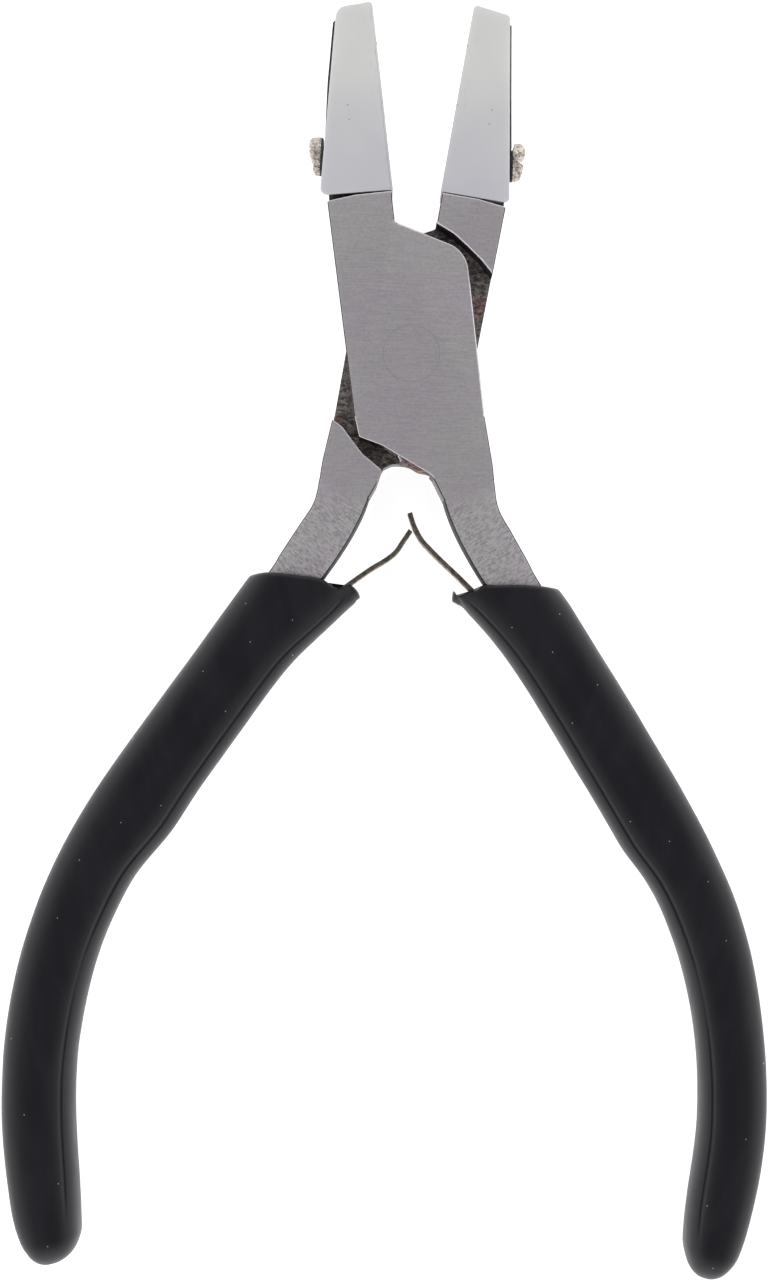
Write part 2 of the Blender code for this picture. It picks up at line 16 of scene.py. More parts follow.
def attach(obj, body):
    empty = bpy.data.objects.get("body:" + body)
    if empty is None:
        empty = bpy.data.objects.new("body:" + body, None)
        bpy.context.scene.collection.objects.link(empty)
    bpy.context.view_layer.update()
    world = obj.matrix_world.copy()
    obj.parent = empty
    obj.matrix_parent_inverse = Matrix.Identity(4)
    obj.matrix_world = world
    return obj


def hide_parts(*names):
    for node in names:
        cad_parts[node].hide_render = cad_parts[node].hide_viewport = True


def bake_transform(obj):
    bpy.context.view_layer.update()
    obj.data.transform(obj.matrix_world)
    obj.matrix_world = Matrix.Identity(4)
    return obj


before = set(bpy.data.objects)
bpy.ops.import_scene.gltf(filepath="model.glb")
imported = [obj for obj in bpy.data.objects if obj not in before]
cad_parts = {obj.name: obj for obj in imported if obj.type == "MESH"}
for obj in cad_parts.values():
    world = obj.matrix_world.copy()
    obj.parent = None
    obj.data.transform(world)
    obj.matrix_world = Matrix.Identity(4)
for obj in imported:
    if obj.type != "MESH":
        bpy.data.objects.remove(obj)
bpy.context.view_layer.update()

MM = 0.001

# The joint
THICKNESS = 9.0
MIDDLE = THICKNESS / 2
SLIDE_GAP = 0.06
OPEN_DEGREES = 8.18  # each half's turn from closed, at which its ground lines run straight across the tool
OPEN_ANGLE = math.radians(OPEN_DEGREES)
RIVET_RADIUS = 2.0
RIVET_HEAD_RADIUS = 3.05
RIVET_HEAD_HEIGHT = 0.95
RIVET_SEAM = 0.015
EDGE_ROUND = 0.18
STEP_CHAMFER = 0.13
SEAM_SINK = 0.004  # how far the arm's flats lie below the plate's where they meet
GROUND, SCALY, SHADED = range(3)  # a forged half's finishes, in the order of its material slots; the last is painted shade

# The handles
MOUTH = Vector((8.6, -26.1))
SPLAY = math.radians(25.8)
STRAIGHT = 26.6
BEND_RADIUS = 62.9
TANG_END = 77.0
TANG_INNER = 2.8
TANG_OUTER = 2.3
TANG_TIP = 2.0
TANG_HALF_THICKNESS = 3.1
ARM_TAPER_START = -15.8
ARM_TAPER_END = -26.2
ARM_MOUTH_HALF = 3.35
ARM_DRAFT = 0.16  # how far the arm's side walls swell at mid-thickness
ARM_RINGS = 34
RING_SPACING = 3.0  # down the tang
SEAT_GAP = 0.1
SNUG_GAP = 0.05  # around the jaw screws and between an arm's faces and its grip

# The grips
GRIP_SQUARENESS = 2.6
LIP_RADIUS = 0.5
LIP_LENGTH = 4.0  # how far down a grip its mouth's unevenness fades out
MOUTH_TILT = math.radians(-4.0)
MOUTH_TURN = 14.0
CREASE_INSET = 1.25  # from the grip's inner edge
CREASE_DEPTH = 0.26
CREASE_WIDTH = 0.17
CREASE_FADE = ((0.3, 0.0), (2.5, 1.0), (40.0, 1.0), (50.0, 0.3), (58.0, 0.8), (74.0, 0.8), (78.0, 0.0))
CREASE_SPREAD = math.radians(7.0)  # how much of a ring has close points beside the crease, on either side
RING_STEPS = (26, 24, 16)  # points round half a ring: up to the crease, along it and beyond it
VALLEY_PLACE = -1.3
VALLEY_DEPTH = 0.22
VALLEY_WIDTH = 0.9
VALLEY_FADE = ((1.0, 0.0), (5.0, 1.0), (30.0, 1.0), (40.0, 0.0))
MOUTH_RINGS = 15
SLEEVE_RINGS = 96
CAP_RINGS = 12

# The nylon jaws and their screws
FACE_X = -0.05
NYLON_FOOT_Y = 17.74
NYLON_TIP_Y = 38.25
NYLON_EDGE = 0.1
NYLON_SET_BACK = 0.05  # from the tool's two faces
NYLON_SLOPE = Vector((0.6, 1.9, 0.0))  # how far the outer foot corner leans away from the front
NYLON_SLOPE_REACH = 3.0
NYLON_CHAMFER = 0.36  # along the left jaw's gripping edge
TONGUE_ROOT_Y = 15.5
TONGUE_ROOT_X = -7.15
TONGUE_INNER_X = (-2.3, -2.1)  # at its root and at its end
TONGUE_HALF_THICKNESS = 1.6
SLOT_GAP = 0.04  # above and below the tongue
SLOT_END_GAP = 0.08
SLOT_MOUTH_X = -12.0  # outside the nylon
SCREW_TILT = math.radians(9.5)
SCREW_Y = 22.85
SCREW_RADIUS = 1.25
SCREW_HEAD_RADIUS = 2.1
SCREW_HEAD_HEIGHT = 1.7
SCREW_LENGTH = 6.3
SCREW_SHADE_BAND = 0.24  # painted shade on the rim under the head, by the nylon
WEAR_ROUND = 0.1
WEAR_VOXEL = 0.06
WEAR_START = 0.08  # above the screw's seat
WEAR_LIMITS = (-0.03, 0.05)

# Each screw's head as seen from the front: x runs into the head from its top, y up the tool
SCREW_HEADS = {
    "left": ((1.7, 1.9), (1.45, 2.1), (0.9, 2.16), (0.5, 2.02), (0.22, 1.55), (0.12, 1.0), (0.2, 0.3),
             (0.42, -0.35), (0.7, -0.68), (1.2, -0.78), (1.2, -0.94), (0.84, -1.04), (0.68, -1.4),
             (0.8, -1.8), (1.1, -2.1), (1.5, -2.1), (1.7, -1.9)),
    "right": ((1.7, 1.0), (1.48, 1.12), (1.22, 2.12), (0.6, 2.12), (0.08, 1.9), (-0.02, 1.29), (0.16, 0.5),
              (0.62, 0.32), (1.02, 0.04), (1.02, -0.1), (0.62, -0.34), (0.3, -0.56), (0.34, -0.9),
              (0.56, -1.7), (0.8, -1.9), (1.48, -2.14), (1.7, -2.05)),
}

# The leaf springs
LEAF_THICKNESS = 0.5
LEAF_HALF_WIDTH = 2.3
LEAF_SPACE_HALF_WIDTH = 2.5
LEAF_CLAMP = 35.5
SPRING_RIVET_RADIUS = 0.8
SPRING_RIVET_HEAD_RADIUS = 1.5
SPRING_RIVET_HEAD_HEIGHT = 0.75
SPRING_RIVET_DEPTH = 3.0

# What differs between the two halves. A grip's edges are (place down the handle, distance from the handle's
# middle line), and its mouth's lip is (place across the grip, how far it stands up the handle).
SIDES = {
    "right": {
        "leaf": ((3.75, -26.03), (2.37, -24.33), (0.9, -22.6), (-0.27, -21.14), (-1.05, -20.05),
                 (-1.67, -18.53), (-2.0, -16.97)),
        "leaf_entry": (4.83, -27.53),
        "inner": ((-2.0, 6.2), (0.0, 5.9), (4.0, 5.27), (9.0, 4.95), (14.0, 4.95), (22.0, 5.12),
                  (30.5, 5.22), (36.0, 4.35), (41.0, 3.95), (48.0, 3.7), (64.0, 3.67), (72.0, 3.86),
                  (76.0, 3.6), (80.0, 2.9)),
        "outer": ((0.0, 4.0), (12.0, 3.97), (22.0, 3.84), (31.0, 3.65), (43.0, 3.98), (54.0, 3.8),
                  (66.0, 3.72), (76.0, 3.22), (80.0, 2.75)),
        "end": 81.8,
        "cap": 3.6,
        "lean": 0.0,
        "lip": ((-7.2, -1.6), (-6.8, -0.25), (-6.6, -0.75), (-6.0, -0.75), (-5.4, -0.5), (-4.5, -0.45),
                (-3.6, 0.2), (-2.9, 0.1), (0.0, 0.05), (2.5, -0.15), (4.1, -0.4)),
    },
    "left": {
        "leaf": ((2.61, -25.99), (0.31, -23.68), (-1.15, -22.4), (-2.09, -21.33), (-2.66, -20.1),
                 (-3.27, -18.72)),
        "leaf_entry": (4.14, -27.63),
        "inner": ((-3.0, 6.8), (-2.0, 6.95), (0.0, 6.8), (3.0, 6.25), (7.0, 5.53), (11.0, 5.33),
                  (24.0, 5.33), (30.5, 5.47), (37.0, 4.43), (41.0, 4.15), (47.0, 3.85), (60.0, 3.82),
                  (71.0, 3.99), (76.0, 3.7), (80.5, 3.05)),
        "outer": ((0.0, 3.87), (14.0, 3.9), (22.0, 3.98), (29.0, 3.92), (42.0, 4.25), (51.0, 4.31),
                  (66.0, 4.1), (73.0, 3.86), (77.5, 3.77), (80.5, 3.3)),
        "end": 82.5,
        "cap": 3.2,
        "lean": 0.8,
        "lip": ((-8.4, -2.2), (-7.9, -1.4), (-7.4, -0.7), (-6.9, -0.25), (-6.4, 0.0), (-5.9, -0.3),
                (-5.3, -0.6), (-4.8, -0.55), (-4.0, -0.05), (-3.3, 0.25), (-1.0, 0.35), (2.4, 0.35),
                (4.1, 0.0)),
    },
}
JAWS = {
    "left": {
        "foot": 8.0, "foot_rise": 0.25, "foot_radius": 0.75, "tip": 4.0, "tip_radius": 1.3, "tip_drop": 0.25,
        "head_x": -7.2,
        "tongue_end": 37.2,
        "tongue": ((-4.5, 37.2, 0.3), (-5.84, 30.5, 6.0), (-6.7, 25.0, 3.0)),
    },
    "right": {
        "foot": 7.58, "foot_rise": 0.03, "foot_radius": 0.5, "tip": 4.1, "tip_radius": 0.5, "tip_drop": 0.5,
        "head_x": -6.92,
        "tongue_end": 37.4,
        "tongue": ((-4.45, 37.4, 0.2), (-5.66, 30.5, 6.0), (-6.8, 24.2, 3.0)),
    },
}

# Outlines in a half's own frame: each point is x, y and the radius that rounds it
PLATE_OUTLINE = (
    (-7.25, 17.35, 0.2), (-6.85, -6.0, 3.0), (-6.62, -8.35, 0.35), (-4.3, -9.5, 3.0),
    (0.8, -13.35, 1.2), (1.8, -16.1, 0.0), (7.4, -14.5, 0.0), (7.42, -13.0, 3.0), (7.1, -7.5, 5.0),
    (7.12, 10.4, 3.4), (-0.25, 14.3, 0.6), (-0.25, 17.68, 0.2), (-4.2, 17.69, 0.0),
)
CROTCH_CUT = (
    (1.3, -14.8, 0.0), (1.02, -13.0, 0.0), (0.85, -12.5, 0.4), (0.05, -11.9, 1.5), (-0.6, -11.76, 0.0),
    (-1.5, -11.7, 0.0), (-3.0, -12.2, 0.0), (-3.0, -14.8, 0.0),
)
# The unground web that bulges from the front half's crotch
WEB_OUTLINE = (
    (-2.9, -10.4, 0.0), (-2.5, -11.75, 0.5), (-1.4, -12.2, 2.0), (-0.7, -12.75, 1.0), (0.1, -13.0, 1.0),
    (0.95, -13.4, 0.5), (1.6, -12.6, 0.0),
)
RECESS_OUTLINE = (
    (-9.6, 7.5, 0.0), (-6.86, 10.2, 0.0), (-5.6, 11.3, 4.0), (-4.0, 12.4, 4.0), (-2.3, 13.5, 5.0),
    (-0.25, 14.3, 0.0), (1.2, 15.2, 0.0), (9.6, 15.2, 0.0), (9.6, -8.2, 0.0), (7.1, -8.55, 3.0),
    (6.05, -9.0, 2.0), (3.3, -11.6, 3.0), (2.2, -12.2, 4.0), (0.7, -13.1, 0.0), (-0.6, -14.2, 0.0),
    (-9.6, -14.2, 0.0),
)
ARM_INNER = ((1.95, -13.4), (1.82, -16.1), (2.67, -19.6), (4.06, -23.15))
ARM_OUTER = ((7.15, -12.0), (7.38, -14.6), (7.55, -17.6), (8.76, -20.5), (10.1, -23.6))


# Curves and outlines


def handle_point(along, aside=0.0):
    """A point beside the handle's middle line, and the line's heading there; aside is outwards."""
    straight = min(along, STRAIGHT)
    heading = SPLAY - max(along - STRAIGHT, 0.0) / BEND_RADIUS
    point = MOUTH + straight * Vector((math.sin(SPLAY), -math.cos(SPLAY)))
    point += BEND_RADIUS * Vector((math.cos(heading) - math.cos(SPLAY), math.sin(heading) - math.sin(SPLAY)))
    return point + aside * Vector((math.cos(heading), math.sin(heading))), heading


def between(knots, place):
    """A smooth value between (place, value) knots."""
    if place <= knots[0][0]:
        return knots[0][1]
    for (start, low), (end, high) in zip(knots, knots[1:]):
        if place <= end:
            share = (place - start) / (end - start)
            return low + (high - low) * share * share * (3 - 2 * share)
    return knots[-1][1]


def flowing(knots, place):
    """A value that flows through (place, value) knots, and stays level beyond them."""
    if place <= knots[0][0]:
        return knots[0][1]
    if place >= knots[-1][0]:
        return knots[-1][1]
    index = max(index for index, knot in enumerate(knots[:-1]) if knot[0] <= place)
    (start, low), (end, high) = knots[index], knots[index + 1]
    before, after = knots[max(index - 1, 0)], knots[min(index + 2, len(knots) - 1)]
    slopes = [(late[1] - early[1]) / (late[0] - early[0]) * (end - start)
              for early, late in ((before, (end, high)), ((start, low), after))]
    t = (place - start) / (end - start)
    rise = high - low
    return low + slopes[0] * t + (3 * rise - 2 * slopes[0] - slopes[1]) * t**2 + (
        slopes[0] + slopes[1] - 2 * rise) * t**3


def hump(place, centre, width):
    """A smooth hump of height 1."""
    return math.exp(-(((place - centre) / width) ** 2))


def curve_through(points, steps):
    """A Catmull-Rom curve through the points."""
    points = [Vector(point) for point in points]
    ends = [2 * points[0] - points[1], *points, 2 * points[-1] - points[-2]]
    found = []
    for before, start, end, after in zip(ends, ends[1:], ends[2:], ends[3:]):
        for step in range(steps):
            t = step / steps
            found.append(
                0.5 * (2 * start + (end - before) * t + (2 * before - 5 * start + 4 * end - after) * t**2
                       + (3 * start - before - 3 * end + after) * t**3)
            )
    return [*found, points[-1]]


def point_along(line, share):
    """The point at this share of a line's length."""
    lengths = [0.0]
    for start, end in zip(line, line[1:]):
        lengths.append(lengths[-1] + (end - start).length)
    target = share * lengths[-1]
    for start, end, low, high in zip(line, line[1:], lengths, lengths[1:]):
        if target <= high:
            return start.lerp(end, (target - low) / (high - low))
    return line[-1]


def rounded(corners, steps=10):
    """The outline with each corner (x, y, radius) replaced by an arc."""
    found = []
    for index, (x, y, radius) in enumerate(corners):
        corner = Vector((x, y))
        before = Vector(corners[index - 1][:2]) - corner
        after = Vector(corners[(index + 1) % len(corners)][:2]) - corner
        turn = math.pi - before.angle(after)
        if radius == 0 or turn < 0.01:
            found.append(corner)
            continue
        radius = min(radius, 0.45 * min(before.length, after.length) / math.tan(turn / 2))
        reach = radius * math.tan(turn / 2)
        start = corner + before.normalized() * reach
        end = corner + after.normalized() * reach
        bisector = (before.normalized() + after.normalized()).normalized()
        middle = corner + bisector * radius / math.cos(turn / 2)
        sweep = (start - middle).angle_signed(end - middle)
        for step in range(steps + 1):
            spoke = (start - middle).copy()
            spoke.rotate(Matrix.Rotation(-sweep * step / steps, 2))
            found.append(middle + spoke)
    return found


def strip_outline(line, thickness):
    """The outline of a strip of this thickness along a line, with square ends."""
    sides = ([], [])
    for index, point in enumerate(line):
        ahead = line[min(index + 1, len(line) - 1)] - line[max(index - 1, 0)]
        across = Vector((-ahead.y, ahead.x)).normalized() * thickness / 2
        sides[0].append(point + across)
        sides[1].append(point - across)
    return sides[0] + sides[1][::-1]


def area(outline):
    """The area inside an outline, negative if it runs clockwise."""
    return sum(a.x * b.y - b.x * a.y for a, b in zip(outline, outline[1:] + outline[:1])) / 2


def inset(outline, depth):
    """The anticlockwise outline moved inwards."""
    found = []
    for index, point in enumerate(outline):
        back = (point - outline[index - 1]).normalized()
        ahead = (outline[(index + 1) % len(outline)] - point).normalized()
        inward = Vector((-back.y - ahead.y, back.x + ahead.x)).normalized()
        share = max(inward.dot(Vector((-back.y, back.x))), 0.5)
        found.append(point + inward * depth / share)
    return found


# Solids


def mesh_object(name, bm):
    """A new object from a bmesh in millimetres."""
    bmesh.ops.recalc_face_normals(bm, faces=bm.faces)
    mesh = bpy.data.meshes.new(name)
    bm.to_mesh(mesh)
    bm.free()
    obj = bpy.data.objects.new(name, mesh)
    bpy.context.scene.collection.objects.link(obj)
    return obj


def loft(name, rings):
    """A closed body through rings of equally many points."""
    bm = bmesh.new()
    rings = [[bm.verts.new(point) for point in ring] for ring in rings]
    for ring, after in zip(rings, rings[1:]):
        for index in range(len(ring)):
            bm.faces.new((ring[index - 1], ring[index], after[index], after[index - 1]))
    bm.faces.new(rings[0])
    bm.faces.new(rings[-1])
    return mesh_object(name, bm)


def prism(name, outline, low, high, edge=0.0, edge_steps=4, flare=0.0):
    """An outline raised from low to high, its edges rounded, or flared below Z = 0 as a chamfering cutter."""
    if area(outline) < 0:
        outline = outline[::-1]
    levels = [(0.0, low), (0.0, high)]
    if edge:
        turns = [math.pi / 2 * step / edge_steps for step in range(edge_steps + 1)]
        levels = [(edge * (1 - math.sin(turn)), low + edge * (1 - math.cos(turn))) for turn in turns]
        levels += [(edge * (1 - math.sin(turn)), high - edge * (1 - math.cos(turn))) for turn in turns[::-1]]
    if flare:
        levels = [(-flare, low), (-flare, 0.0), (0.0, flare), (0.0, high)]
    rings = []
    for depth, z in levels:
        ring = inset(outline, depth) if depth else outline
        rings.append([point.to_3d() + Vector((0, 0, z)) for point in ring])
    return loft(name, rings)


def slab(name, outline, reach, edge=0.0, edge_steps=4):
    """An outline raised as far either side of mid-thickness."""
    return prism(name, outline, MIDDLE - reach, MIDDLE + reach, edge, edge_steps)


def turned(name, profile, start, heading, steps=64):
    """A body turned about an axis: profile is (radius, distance along the axis), the ends closed."""
    axis = Vector(heading).normalized()
    side = axis.orthogonal().normalized()
    rings = []
    for radius, along in profile:
        middle = Vector(start) + axis * along
        turns = [Matrix.Rotation(math.tau * step / steps, 3, axis) for step in range(steps)]
        rings.append([middle + turn @ (side * radius) for turn in turns])
    return loft(name, rings)


def box(name, size, turn):
    """A box of this size in millimetres, placed by a matrix."""
    bm = bmesh.new()
    bmesh.ops.create_cube(bm, size=1.0, matrix=turn @ Matrix.Diagonal((*size, 1.0)))
    return mesh_object(name, bm)


def combine(target, tool, operation="DIFFERENCE"):
    """Cuts the tool from the target or joins it, and removes the tool."""
    modifier = target.modifiers.new(operation, "BOOLEAN")
    modifier.operation = operation
    modifier.solver = "EXACT"
    modifier.object = tool
    apply_modifiers(target)
    bpy.data.objects.remove(tool)


def apply_modifiers(obj):
    """Makes what the modifiers show the object's own mesh."""
    graph = bpy.context.evaluated_depsgraph_get()
    mesh = bpy.data.meshes.new_from_object(obj.evaluated_get(graph))
    obj.modifiers.clear()
    obj.data = mesh


def half_matrix(body):
    """Where a half's own frame lies at rest, from millimetres."""
    scale = Matrix.Diagonal((MM, MM, MM, 1.0))
    swing = Matrix.Rotation(OPEN_ANGLE, 4, "Z")
    if body == "front_half":
        return swing @ scale
    raised = Matrix.Translation((0, 0, THICKNESS * MM))
    return raised @ swing.inverted() @ Matrix.Rotation(math.pi, 4, "Y") @ scale


def place(obj, half, body, slot, *nodes, crease=32.0):
    """Puts a piece from its half's own frame on its body, if it has one, to stand for its CAD nodes.

    The mesh keeps the half's axes, in metres, so that both halves' finishes follow the forging.
    """
    obj.data.transform(Matrix.Diagonal((MM, MM, MM, 1.0)))
    obj.matrix_world = half_matrix(half) @ Matrix.Diagonal((1 / MM, 1 / MM, 1 / MM, 1.0))
    obj.data.shade_smooth()
    obj.data.set_sharp_from_angle(angle=math.radians(crease))
    if body:
        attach(obj, body)
    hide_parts(*nodes)
    return obj


# Materials


class Finish:
    """A Principled material and short ways to add the nodes that feed it."""

    def __init__(self, name, **values):
        self.material = bpy.data.materials.new(name)
        self.material.use_nodes = True
        self.tree = self.material.node_tree
        self.shader = self.tree.nodes["Principled BSDF"]
        for key, value in values.items():
            self.shader.inputs[key.replace("_", " ").title().replace("Ior", "IOR")].default_value = value
        self.position = self.tree.nodes.new("ShaderNodeTexCoord").outputs["Object"]

    def node(self, kind, settings=None, **inputs):
        """A new node, its inputs given by name or, as in0 and so on, by number."""
        made = self.tree.nodes.new("ShaderNode" + kind)
        for key, value in (settings or {}).items():
            setattr(made, key, value)
        for key, value in inputs.items():
            socket = made.inputs[int(key[2:]) if key.startswith("in") else key]
            if isinstance(value, bpy.types.NodeSocket):
                self.tree.links.new(value, socket)
            else:
                socket.default_value = value
        return made

    def stretched(self, turn, scale):
        """Object positions turned about Z by degrees and scaled, in features per millimetre."""
        scale = scale if isinstance(scale, tuple) else (scale,) * 3
        turned_first = self.node("Mapping", Vector=self.position, Rotation=(0, 0, math.radians(turn)))
        per_metre = [value / MM for value in scale]
        return self.node("Mapping", Vector=turned_first.outputs[0], Scale=per_metre).outputs[0]

    def noise(self, turn, scale, detail=3.0, roughness=0.55, distortion=0.0):
        return self.node("TexNoise", Vector=self.stretched(turn, scale), Scale=1.0, Detail=detail,
                         Roughness=roughness, Distortion=distortion).outputs[0]

    def ramp(self, value, low, high, bottom=0.0, top=1.0, smooth=True):
        kind = {"interpolation_type": "SMOOTHSTEP" if smooth else "LINEAR"}
        made = self.node("MapRange", kind, Value=value)
        for key, number in (("From Min", low), ("From Max", high), ("To Min", bottom), ("To Max", top)):
            made.inputs[key].default_value = number
        return made.outputs[0]

    def maths(self, operation, first, second=0.0):
        return self.node("Math", {"operation": operation}, in0=first, in1=second).outputs[0]

    def mix(self, share, first, second):
        """One colour over another; each is an output or red, green and blue."""
        first, second = (value if isinstance(value, bpy.types.NodeSocket) else (*value, 1.0)
                         for value in (first, second))
        return self.node("Mix", {"data_type": "RGBA"}, in0=share, in6=first, in7=second).outputs[2]

    def multiply(self, first, second):
        settings = {"data_type": "RGBA", "blend_type": "MULTIPLY"}
        return self.node("Mix", settings, in0=1.0, in6=first, in7=second).outputs[2]

    def blend_values(self, share, first, second):
        return self.node("Mix", in0=share, in2=first, in3=second).outputs[0]

    def weighted(self, first, share, second):
        """Two values added, the first counting for this share."""
        first = self.maths("MULTIPLY", first, share)
        return self.maths("ADD", first, self.maths("MULTIPLY", second, 1 - share))

    def flatness(self):
        """1 on the tool's two faces and 0 on upright walls."""
        facing = self.node("SeparateXYZ", Vector=self.node("TexCoord").outputs["Normal"])
        return self.maths("ABSOLUTE", facing.outputs["Z"])

    def off_middle(self, split):
        """The distance from mid-thickness, in metres."""
        return self.maths("ABSOLUTE", self.maths("SUBTRACT", split.outputs["Z"], MIDDLE * MM))

    def plate_tone(self):
        """How bright the fine lines are that run across the ground joint."""
        across = self.noise(OPEN_DEGREES, (0.5, 6.5, 0.5), 4.0, 0.65)
        speckle = self.noise(0.0, 3.2, 3.0, 0.6)
        return self.ramp(self.weighted(across, 0.55, speckle), 0.40, 0.60, 0.32, 0.68, smooth=False)

    def grind(self, tone):
        """Gives the surface the gloss and the relief of its ground lines."""
        self.feed("Roughness", self.ramp(tone, 0.0, 1.0, 0.45, 0.35, smooth=False))
        self.bump(tone, 0.004)

    def painted_wall_shade(self, split, grain):
        """Painted shade on the walls: a grain-mottled dark grey, painted darker still towards the tool's two
        faces.
        """
        middle = self.mix(grain, (0.10, 0.097, 0.10), (0.20, 0.194, 0.198))
        shade_near_face = self.ramp(self.off_middle(split), 0.001, 0.0045, 0.0, 0.85)
        return self.mix(shade_near_face, middle, (0.02, 0.019, 0.02))

    def painted_edge_shade(self, split):
        """1 on the rounded edges around the tool's two faces, where painted shade shows as a dark line, and 0
        elsewhere.
        """
        turned_away = self.ramp(self.flatness(), 0.5, 0.88, 1.0, 0.0)
        return self.maths("MULTIPLY", turned_away, self.ramp(self.off_middle(split), 0.0042, 0.00432))

    def specks(self, density, size, share):
        """Scattered dots on the faces: this many to the millimetre, of this size among their cells."""
        cells = self.node("TexVoronoi", {"voronoi_dimensions": "2D"},
                          Vector=self.stretched(0.0, density), Scale=1.0)
        chosen = self.node("SeparateXYZ", Vector=cells.outputs["Color"])
        near = self.ramp(cells.outputs["Distance"], 0.6 * size, size, 1.0, 0.0)
        some = self.ramp(chosen.outputs["X"], share, share + 0.01, 0.0, 1.0, smooth=False)
        return self.maths("MULTIPLY", near, some)

    def feed(self, socket, value):
        self.tree.links.new(value, self.shader.inputs[socket])

    def bump(self, height, distance):
        """Adds relief of this depth in millimetres, on top of any added before."""
        made = self.node("Bump", Height=height, Distance=distance * MM, Strength=1.0)
        previous = self.shader.inputs["Normal"].links
        if previous:
            self.tree.links.new(previous[0].from_socket, made.inputs["Normal"])
        self.feed("Normal", made.outputs[0])


def ground_steel():
    """Satin steel, ground across the joint and aslant on the arms, its walls painted dark grey as shade."""
    finish = Finish("ground_steel", metallic=1.0)
    split = finish.node("SeparateXYZ", Vector=finish.position)
    arm = finish.ramp(split.outputs["Y"], -0.0185, -0.0145, 1.0, 0.0)
    diagonal = finish.noise(-30.0, (1.5, 6.5, 1.5), 4.0, 0.7)
    mottle = finish.noise(0.0, 2.2, 4.0, 0.65)
    cloud = finish.noise(0.0, 0.12, 3.0, 0.5)
    arm_tone = finish.ramp(finish.weighted(diagonal, 0.65, mottle), 0.41, 0.565, 0.05, 1.0, smooth=False)
    tone = finish.blend_values(arm, finish.plate_tone(), arm_tone)
    colour = finish.mix(tone, (0.41, 0.39, 0.41), (0.83, 0.80, 0.815))
    tint = finish.mix(finish.ramp(cloud, 0.38, 0.62), (0.97, 0.945, 0.985), (0.985, 0.985, 0.985))
    # Painted shade: upright walls take the dark grey wall shade instead of the ground steel's colour.
    wall_shade = finish.painted_wall_shade(split, finish.ramp(mottle, 0.36, 0.64))
    upright = finish.ramp(finish.flatness(), 0.25, 0.6, 1.0, 0.0)
    finish.feed("Base Color", finish.mix(upright, finish.multiply(colour, tint), wall_shade))
    finish.grind(tone)
    return finish.material


def forging_scale():
    """The dark, rough scale left where the forging was never ground."""
    finish = Finish("forging_scale", metallic=0.25)
    grain = finish.noise(0.0, (1.5, 2.4, 2.0), 6.0, 0.72, 0.8)
    patches = finish.noise(12.0, (0.32, 0.22, 0.32), 3.0, 0.5)
    crests = finish.ramp(grain, 0.4, 0.66)
    dark = finish.mix(crests, (0.07, 0.06, 0.056), (0.44, 0.40, 0.375))
    rusty = finish.mix(crests, (0.10, 0.053, 0.05), (0.49, 0.31, 0.285))
    finish.feed("Base Color", finish.mix(finish.ramp(patches, 0.48, 0.6), dark, rusty))
    finish.feed("Roughness", finish.ramp(grain, 0.3, 0.7, 0.42, 0.7))
    finish.bump(grain, 0.16)
    return finish.material


def forged_edge():
    """Painted shade: near-black on the tongue, the lap's walls, the forging's outer edges and the screws'
    rims.
    """
    finish = Finish("forged_edge", metallic=0.6)
    grain = finish.noise(0.0, 1.6, 5.0, 0.65)
    crests = finish.ramp(grain, 0.38, 0.64)
    finish.feed("Base Color", finish.mix(crests, (0.02, 0.018, 0.018), (0.075, 0.07, 0.07)))
    finish.feed("Roughness", finish.ramp(grain, 0.3, 0.7, 0.45, 0.65))
    finish.bump(grain, 0.03)
    return finish.material


def rivet_steel():
    """The rivet's ends, ground with the plates."""
    finish = Finish("rivet_steel", metallic=1.0)
    tone = finish.plate_tone()
    finish.feed("Base Color", finish.mix(tone, (0.40, 0.375, 0.40), (0.81, 0.77, 0.795)))
    finish.grind(tone)
    return finish.material


def nylon():
    """Milky machined nylon, painted lighter towards the tip and darker and bluer towards the foot as shade,
    with faint tool streaks and a few specks.
    """
    finish = Finish("nylon", roughness=0.42, subsurface_weight=0.25, subsurface_scale=0.0012)
    finish.shader.inputs["Subsurface Radius"].default_value = (1.0, 1.0, 1.0)
    split = finish.node("SeparateXYZ", Vector=finish.position)
    cloud = finish.noise(0.0, 0.12, 2.0, 0.5)
    streaks = finish.noise(3.0, (5.5, 0.5, 1.0), 4.0, 0.7)
    clouded = finish.ramp(cloud, 0.35, 0.65)
    # Painted light and shade: lighter towards the tip, darker and bluer towards the foot.
    tip = finish.mix(clouded, (0.735, 0.735, 0.725), (0.765, 0.765, 0.75))
    foot = finish.mix(clouded, (0.60, 0.598, 0.645), (0.635, 0.632, 0.668))
    base = finish.mix(finish.ramp(split.outputs["Y"], 0.0175, 0.036), foot, tip)
    near_grip = finish.ramp(split.outputs["X"], -0.0016, -0.0009)
    marks = finish.maths("MULTIPLY", finish.ramp(streaks, 0.56, 0.74, 0.0, 0.45), near_grip)
    marked = finish.mix(marks, base, (0.36, 0.36, 0.37))
    specked = finish.mix(finish.specks(0.3, 0.03, 0.8), marked, (0.3, 0.3, 0.3))
    # Painted shade: a dark line along the rounded edges by the tool's two faces.
    finish.feed("Base Color", finish.mix(finish.painted_edge_shade(split), specked, (0.27, 0.27, 0.275)))
    finish.bump(streaks, 0.01)
    finish.bump(finish.noise(0.0, 1.4, 3.0, 0.5), 0.012)
    return finish.material


def worn_nickel():
    """The plating of a screw's head, bright where it is rubbed and brown in between."""
    finish = Finish("worn_nickel", metallic=1.0)
    scuffs = finish.noise(0.0, 3.6, 5.0, 0.7, 0.8)
    rubbed = finish.ramp(scuffs, 0.38, 0.56)
    finish.feed("Base Color", finish.mix(rubbed, (0.12, 0.10, 0.085), (0.66, 0.60, 0.54)))
    finish.feed("Roughness", finish.ramp(scuffs, 0.3, 0.7, 0.55, 0.3))
    finish.bump(scuffs, 0.06)
    return finish.material


